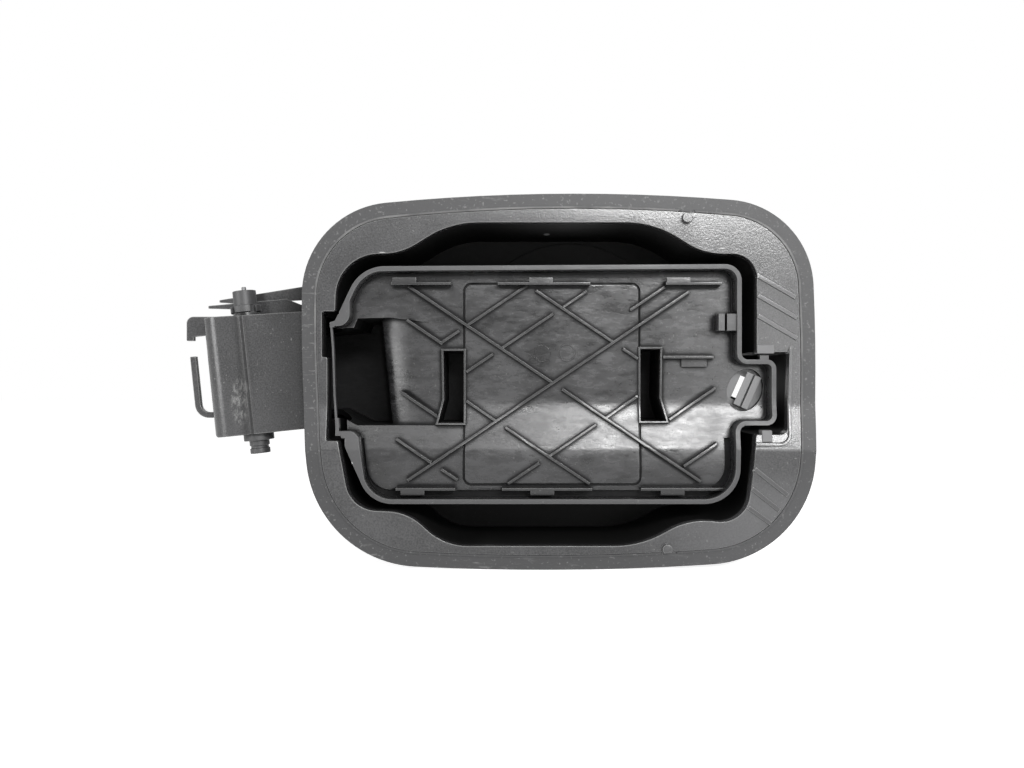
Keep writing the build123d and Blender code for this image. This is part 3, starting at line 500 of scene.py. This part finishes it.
def satin_carrier(name, colour, rim_colour):
    """Polished black floor with flow marks, moulded rings and ejector marks; a duller, paler rim; painted
    highlights on rib tops and edges; painted shade beside ribs and walls and below the floor.
    """
    material, wire = new_material(name)
    place = object_place(wire)
    x, y, z = parts_of(wire, place)
    drop = behind_skin(wire, y + rolled(wire, z), z)
    proud = step(wire, drop, *RIM_ZONE)

    # Flow marks on the floor, paler ejector marks, rib tops painted paler as a highlight, a paler rim, and
    # edges painted paler, partly as wear and partly as painted highlight
    clouds = noise(wire, place, 20.0, detail=5.0, rough=0.55, distortion=1.2)
    streaked = object_place(wire, (0.6, 1.0, 1.6), (0.0, 0.25, 0.0))
    strokes = noise(wire, streaked, 210.0, detail=7.0, rough=0.65)
    flow = ramp(wire, 0.45 * clouds + 0.55 * strokes, (0.38, 0.0), (0.64, 1.0))
    floor = blend(wire, flow, rgba(colour, 0.6), rgba(colour, 2.6))
    marks = most(wire, [spot(wire, x, z, centre, EJECTOR_SIZE) for centre in EJECTOR_MARKS])
    marked = blend(wire, marks * 0.5, floor, rgba(rim_colour, 0.8))
    ribbed = blend(wire, step(wire, drop, *RIB_HIGHLIGHT_ZONE), marked, rgba(rim_colour, 0.5))
    raised = blend(wire, proud, ribbed, rgba(rim_colour, 1.15))
    edged = blend(wire, edge_wear_highlight(wire, 0.0004) * 0.36, raised, CARRIER_EDGE_GREY)
    flecked = blend(wire, spot(wire, x, z, RIM_FLECK, FLECK_SIZE) * proud, edged, FLECK_GREY)

    rings = most(wire, [ring(wire, x, z, centre, RING_RADIUS, RING_WIDTH) for centre in MOULDED_RINGS])
    height = rings * step(wire, drop, *RING_ZONE) * 1.6 + 0.9 * strokes
    sheen = 0.135 + 0.17 * flow + 0.20 * proud
    polished = dusty_plastic(wire, place, flecked, sheen, 0.05, 0.30, height)

    # Painted shade beside ribs and walls and in what lies below the floor, apart from the scoop
    shade_black = surface(wire, rgba(colour, 0.5), 0.6, strokes, 0.1, 0.0001, **DULL)
    past_fall = step(wire, x + HINGE_LEAN * z, *SCOOP_ENDS[0]) * step(wire, x, *SCOOP_ENDS[1])
    level = step(wire, z, *SCOOP_HEIGHTS[0]) * step(wire, z, *SCOOP_HEIGHTS[1])
    scoop = past_fall * level * step(wire, y, *SCOOP_DEPTH)
    sunk_shade = step(wire, drop, *SUNK_SHADE_ZONE) * (1.0 - scoop)
    painted_shade = most(wire, (crevice(wire, 0.0024) * 0.9, sunk_shade * 0.92))
    close_material(wire, wire.add("ShaderNodeMixShader", inputs={0: painted_shade, 1: polished, 2: shade_black}))
    return material


def soft_lip(name, colour):
    """Matt soft plastic, scuffed pale in short strokes and dusty, with a painted highlight along the bead
    that is strongest towards the top, and a painted pale patch of light at the lower right.
    """
    material, wire = new_material(name)
    place = object_place(wire)
    x, y, z = parts_of(wire, place)
    fine = noise(wire, place, 1900.0, detail=2.0)
    clouds = noise(wire, place, 40.0, detail=4.0)
    streaked = object_place(wire, (0.35, 1.0, 2.4), (0.0, 0.4, 0.0))
    strokes = noise(wire, streaked, 260.0, detail=5.0, rough=0.7)
    scuffs = ramp(wire, strokes, (0.58, 0.0), (0.72, 1.0))
    where = ramp(wire, noise(wire, place, 24.0, detail=3.0), (0.48, 0.0), (0.68, 1.0))
    specks = ramp(wire, noise(wire, place, 820.0, detail=2.0), (0.62, 0.0), (0.72, 1.0))
    body = blend(wire, clouds, rgba(colour, 0.86), rgba(colour, 1.14))
    # Painted pale patch of light at the lower right
    pale = blend(wire, painted_low_light(wire, x, z) * 0.5, body, rgba(colour, 2.0))
    worn = blend(wire, scuffs * where * 0.5 + specks * 0.22, pale, LIP_SCUFF_GREY)
    # Painted highlight along the bead, stronger towards the top and in patches
    bead_highlight = step(wire, behind_skin(wire, y, z), *BEAD_HIGHLIGHT_ZONE)
    shown = climb(wire, z, -0.0500, 0.0300, 0.30) * climb(wire, noise(wire, place, 60.0), 0.3, 0.6)
    edged = blend(wire, bead_highlight * shown, worn, BEAD_HIGHLIGHT_GREY)
    close_material(wire, surface(wire, edged, 0.48 + 0.10 * clouds, fine + scuffs * 0.4, 0.40, 0.00012))
    return material


def rubber(name, colour):
    """Matt rubber with a fine grain."""
    material, wire = new_material(name)
    place = object_place(wire)
    fine = noise(wire, place, 1500.0, detail=3.0)
    clouds = noise(wire, place, 60.0, detail=3.0)
    body = blend(wire, clouds, rgba(colour, 0.8), rgba(colour, 1.25))
    close_material(wire, surface(wire, body, 0.62 + 0.14 * clouds, fine, 0.25, 0.00015))
    return material


def drawn_steel(name, colour, roughness):
    """Steel with fine lines along its length."""
    material, wire = new_material(name)
    lines = noise(wire, object_place(wire, (1.0, 1.0, 0.03)), 2600.0, detail=2.0)
    clouds = noise(wire, object_place(wire), 160.0, detail=3.0)
    body = blend(wire, clouds, rgba(colour, 0.8), rgba(colour, 1.15))
    close_material(wire, surface(wire, body, roughness + 0.12 * lines, lines, 0.08, 0.00006, Metallic=1.0))
    return material


def pick(piece):
    """Selects only this piece."""
    bpy.ops.object.select_all(action="DESELECT")
    piece.select_set(True)
    bpy.context.view_layer.objects.active = piece


def finish_with(piece, material, body):
    """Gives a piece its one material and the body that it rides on."""
    piece.data.materials.clear()
    piece.data.materials.append(material)
    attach(piece, body)


def ease_fall(piece):
    """Brings the gooseneck's shoulder forward to an easier curve, up to the edge of its fall."""
    nearest, furthest = SHOULDER_BAND
    for vertex in piece.data.vertices:
        x, y, z = vertex.co
        out = FALL_MIDDLE - (x + HINGE_LEAN * (z - HINGE_HEIGHT))
        in_band = nearest < hypot(out, FALL_CENTRE - y) < furthest
        on_shoulder = out > 0.0 and in_band and y < FALL_CENTRE + SHOULDER_SLACK
        at_side = abs(y - FALL_FLOOR) < SIDE_SLACK and not SIDE_LOW < z < SIDE_TOP
        if on_shoulder and SCOOP_LOW < z < SCOOP_TOP and not at_side:
            out = min(out, FALL_RADIUS)
            curve = FALL_RADIUS - sqrt(FALL_RADIUS**2 - out**2)
            vertex.co.y = y + EASY_RADIUS - sqrt(EASY_RADIUS**2 - out**2) - curve


def between(value, start, end):
    """0 at start and 1 at end, held there."""
    return max(0.0, min(1.0, (value - start) / (end - start)))


def floor_lift(z):
    """How far the roll brings the carrier's floor forward at a height."""
    below = RIDGE - z
    if below <= -ROLL_START:
        return 0.0
    share = between((below + hypot(below, ROLL_START / 2)) / 2, 0.0, ROLL_WIDTH)
    return ROLL_HEIGHT * share * (2.0 - share)


def roll_ridge(piece):
    """Lifts the floor below the ridge, with its ribs, so that the ridge rolls over instead of breaking."""
    heights = [RIDGE + ROLL_START, RIDGE + ROLL_START / 2, RIDGE - ROLL_START / 2]
    heights += [RIDGE - ROLL_WIDTH * facet / ROLL_FACETS for facet in range(ROLL_FACETS + 1)]
    bpy.ops.object.mode_set(mode="EDIT")
    for height in heights:
        bpy.ops.mesh.select_all(action="SELECT")
        bpy.ops.mesh.bisect(plane_co=(0.0, 0.0, height), plane_no=(0.0, 0.0, 1.0))
    bpy.ops.object.mode_set(mode="OBJECT")
    for vertex in piece.data.vertices:
        z = vertex.co.z
        skin = RIDGE_RISE * between(z, TROUGH, RIDGE) - LOW_FALL * between(z, RIDGE, SKIN_END)
        if ROLL_TOP < vertex.co.y - TROUGH_DEPTH + skin < ROLL_BOTTOM:
            vertex.co.y -= floor_lift(z)


def shape_carrier(piece):
    """Gives the carrier's copy its two easier curves."""
    ease_fall(piece)
    roll_ridge(piece)


def settle(piece, before, reach):
    """Puts corners that the rounding threw out back on the face that they came from."""
    for vertex in piece.data.vertices:
        near, _, _, off = before.find_nearest(vertex.co)
        if off > reach:
            vertex.co = near


def rounded_copy(node, name, rounding, reshape=None):
    """Copy of a CAD node with merged faces and rounded edges, which stands for the node."""
    pick(frame["nodes"][node])
    bpy.ops.object.duplicate()
    piece = bpy.context.active_object
    piece.name = name
    piece.data.name = name
    del piece["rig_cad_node"]
    bpy.ops.object.mode_set(mode="EDIT")
    bpy.ops.mesh.select_all(action="SELECT")
    bpy.ops.mesh.remove_doubles(threshold=MERGE_REACH)
    bpy.ops.object.mode_set(mode="OBJECT")
    if reshape:
        reshape(piece)
    corners = [vertex.co.copy() for vertex in piece.data.vertices]
    before = BVHTree.FromPolygons(corners, [face.vertices[:] for face in piece.data.polygons])
    bpy.ops.object.modifier_add(type="BEVEL")
    bevel = piece.modifiers[-1]
    bevel.width = rounding
    bevel.segments = EDGE_FACETS
    bevel.limit_method = "ANGLE"
    bevel.angle_limit = radians(EDGE_ANGLE)
    bevel.use_clamp_overlap = False
    bevel.loop_slide = False
    bpy.ops.object.modifier_apply(modifier=bevel.name)
    settle(piece, before, CORNER_REACH * rounding)
    bpy.ops.object.shade_smooth_by_angle(angle=radians(EDGE_ANGLE))
    bpy.ops.object.modifier_add(type="WEIGHTED_NORMAL")
    weighted = piece.modifiers[-1]
    weighted.keep_sharp = True
    weighted.weight = 100
    bpy.ops.object.modifier_apply(modifier=weighted.name)
    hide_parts(node)
    return piece


class FUELDOOR_OT_housing(bpy.types.Operator):
    """Rounds the housing and gives it grained black plastic"""

    bl_idname = "fuel_door.housing"
    bl_label = "Housing"

    def execute(self, context):
        scene = context.scene
        piece = rounded_copy("housing", "housing_moulding", scene.fuel_door_sizes.housing_round)
        colours = scene.fuel_door_colours
        plastic = grained_housing("grained_plastic", colours.housing, colours.pot)
        finish_with(piece, plastic, "filler_body")
        return {"FINISHED"}


class FUELDOOR_OT_lip(bpy.types.Operator):
    """Rounds the soft lip and scuffs it"""

    bl_idname = "fuel_door.lip"
    bl_label = "Flange lip"

    def execute(self, context):
        scene = context.scene
        piece = rounded_copy("flange_lip", "flange_soft_lip", scene.fuel_door_sizes.lip_round)
        finish_with(piece, soft_lip("scuffed_lip", scene.fuel_door_colours.lip), "filler_body")
        return {"FINISHED"}


class FUELDOOR_OT_carrier(bpy.types.Operator):
    """Rounds the ribbed door carrier and gives it satin plastic"""

    bl_idname = "fuel_door.carrier"
    bl_label = "Door carrier"

    def execute(self, context):
        scene = context.scene
        rounding = scene.fuel_door_sizes.carrier_round
        piece = rounded_copy("door_carrier", "carrier_moulding", rounding, reshape=shape_carrier)
        colours = scene.fuel_door_colours
        plastic = satin_carrier("satin_plastic", colours.carrier, colours.housing)
        finish_with(piece, plastic, "door")
        return {"FINISHED"}


class FUELDOOR_OT_hinge(bpy.types.Operator):
    """Finishes the hinge pin, its bushes and the leaf spring"""

    bl_idname = "fuel_door.hinge"
    bl_label = "Hinge fittings"

    def execute(self, context):
        scene = context.scene
        rounding = scene.fuel_door_sizes.fitting_round
        steel = drawn_steel("drawn_steel", scene.fuel_door_colours.steel, 0.32)
        plastic = moulded_plastic("bush_plastic", scene.fuel_door_colours.housing, 0.42, 0.10, 0.10, 0.3)
        for node in ("hinge_bush_upper", "hinge_bush_lower"):
            bush = rounded_copy(node, node + "_moulding", rounding)
            finish_with(bush, plastic, "filler_body")
        pin = rounded_copy("hinge_pin", "hinge_pin_turned", rounding)
        finish_with(pin, steel, "filler_body")
        spring = rounded_copy("hold_open_spring", "leaf_spring", rounding / 2)
        finish_with(spring, steel, "filler_body")
        return {"FINISHED"}


class FUELDOOR_OT_latch(bpy.types.Operator):
    """Finishes the striker and the buffers beside the latch recess"""

    bl_idname = "fuel_door.latch"
    bl_label = "Latch fittings"

    def execute(self, context):
        scene = context.scene
        rounding = scene.fuel_door_sizes.fitting_round
        grey = moulded_plastic("striker_plastic", scene.fuel_door_colours.striker, 0.40, 0.06, 0.10, 0.2)
        striker = rounded_copy("latch_striker", "striker_moulding", rounding)
        finish_with(striker, grey, "door")
        soft = rubber("buffer_rubber", scene.fuel_door_colours.striker)
        for node in ("stop_buffer_upper", "stop_buffer_lower"):
            pad = rounded_copy(node, node + "_pad", rounding)
            finish_with(pad, soft, "filler_body")
        return {"FINISHED"}


class FUELDOOR_OT_seals(bpy.types.Operator):
    """Finishes the rubber seal in the pot's floor"""

    bl_idname = "fuel_door.seals"
    bl_label = "Seals"

    def execute(self, context):
        scene = context.scene
        rounding = scene.fuel_door_sizes.fitting_round
        soft = rubber("seal_rubber", scene.fuel_door_colours.rubber)
        ring_seal = rounded_copy("neck_seal", "neck_seal_ring", rounding)
        finish_with(ring_seal, soft, "filler_body")
        return {"FINISHED"}


class FUELDOOR_OT_stage(bpy.types.Operator):
    """Adds the pale floor, the light tent, the softboxes and the camera"""

    bl_idname = "fuel_door.stage"
    bl_label = "Stage"

    def execute(self, context):
        stage = context.scene.fuel_door_stage
        make_floor(CAD_BOX[0].z)
        make_tent(context.scene, stage.ambient)
        for name, power, place, size in LAMPS:
            softbox(name, place, size, getattr(stage, power))
        bpy.ops.object.camera_add(
            location=(stage.camera_x, -stage.camera_distance, stage.camera_z), rotation=(pi / 2, 0.0, 0.0)
        )
        camera = context.active_object
        camera.name = "photo_camera"
        camera.data.lens = stage.lens
        camera.data.clip_start = 0.01
        context.scene.camera = camera
        context.scene.view_settings.view_transform = "Standard"
        return {"FINISHED"}


def seen_white(wire):
    """1 for what the camera sees, straight or through or in a reflection, and 0 for light on the part."""
    rays = ("Is Camera Ray", "Is Glossy Ray", "Is Transmission Ray")
    return most(wire, [wire.add("ShaderNodeLightPath", output=ray) for ray in rays])


def make_floor(height):
    """Pale floor under the part: white to the camera, and still shaded by the part."""
    bpy.ops.object.select_all(action="DESELECT")
    bpy.ops.mesh.primitive_grid_add(
        x_subdivisions=4, y_subdivisions=4, size=FLOOR_SIZE, location=(0.0, 0.0, height)
    )
    floor = bpy.context.active_object
    floor.name = "pale_floor"
    bpy.ops.object.transform_apply(location=True, rotation=False, scale=False)
    material, wire = new_material("pale_floor")
    mottle = noise(wire, object_place(wire), 3.0)
    shade = blend(wire, mottle, (0.86, 0.86, 0.86, 1.0), (0.90, 0.90, 0.90, 1.0))
    paper = wire.add("ShaderNodeBsdfDiffuse", inputs={"Color": shade})
    glow = wire.add("ShaderNodeEmission", inputs={"Color": (1.0, 1.0, 1.0, 1.0), "Strength": FLOOR_GLOW})
    bright = wire.add("ShaderNodeAddShader", inputs={0: paper, 1: glow})
    mixed = wire.add("ShaderNodeMixShader", inputs={0: seen_white(wire), 1: paper, 2: bright})
    close_material(wire, mixed)
    floor.data.materials.append(material)


def make_tent(scene, ambient):
    """White all round to the eye and in reflections, and a soft light for everything else."""
    world = bpy.data.worlds.new("light_tent")
    scene.world = world
    world.use_nodes = True
    world.node_tree.nodes.clear()
    wire = Wire(world.node_tree)
    strength = ambient + (1.0 - ambient) * seen_white(wire)
    sky = wire.add("ShaderNodeBackground", inputs={"Color": (1.0, 1.0, 1.0, 1.0), "Strength": strength})
    wire.add("ShaderNodeOutputWorld", inputs={"Surface": sky})


def softbox(name, place, size, power):
    """Rectangular lamp that faces the middle of the part."""
    bpy.ops.object.light_add(type="AREA", location=place)
    lamp = bpy.context.active_object
    lamp.name = name
    lamp.data.shape = "RECTANGLE"
    lamp.data.size, lamp.data.size_y = size
    lamp.data.energy = power
    lamp.rotation_euler = (-Vector(place)).to_track_quat("-Z", "Y").to_euler()


class FUELDOOR_PT_panel(bpy.types.Panel):
    """Lists the steps that dress the fuel door module"""

    bl_idname = "FUELDOOR_PT_panel"
    bl_label = "Fuel Door"
    bl_space_type = "VIEW_3D"
    bl_region_type = "UI"
    bl_category = "Fuel Door"

    def draw(self, context):
        layout = self.layout
        for group in (
            context.scene.fuel_door_sizes,
            context.scene.fuel_door_colours,
            context.scene.fuel_door_stage,
        ):
            column = layout.column(align=True)
            for name in group.bl_rna.properties.keys():
                if name not in {"rna_type", "name"}:
                    column.prop(group, name)
        for operator in OPERATORS:
            layout.operator(operator.bl_idname)


OPERATORS = (
    FUELDOOR_OT_housing,
    FUELDOOR_OT_lip,
    FUELDOOR_OT_carrier,
    FUELDOOR_OT_hinge,
    FUELDOOR_OT_latch,
    FUELDOOR_OT_seals,
    FUELDOOR_OT_stage,
)
GROUPS = {
    "fuel_door_sizes": FuelDoorSizes,
    "fuel_door_colours": FuelDoorColours,
    "fuel_door_stage": FuelDoorStage,
}


def register():
    for kind in (*GROUPS.values(), *OPERATORS, FUELDOOR_PT_panel):
        bpy.utils.register_class(kind)
    for name, kind in GROUPS.items():
        setattr(bpy.types.Scene, name, bpy.props.PointerProperty(type=kind))


def unregister():
    for name in GROUPS:
        delattr(bpy.types.Scene, name)
    for kind in (FUELDOOR_PT_panel, *reversed(OPERATORS), *GROUPS.values()):
        bpy.utils.unregister_class(kind)


def main():
    register()
    bpy.ops.fuel_door.housing()
    bpy.ops.fuel_door.lip()
    bpy.ops.fuel_door.carrier()
    bpy.ops.fuel_door.hinge()
    bpy.ops.fuel_door.latch()
    bpy.ops.fuel_door.seals()
    bpy.ops.fuel_door.stage()


if __name__ == "__main__":
    main()
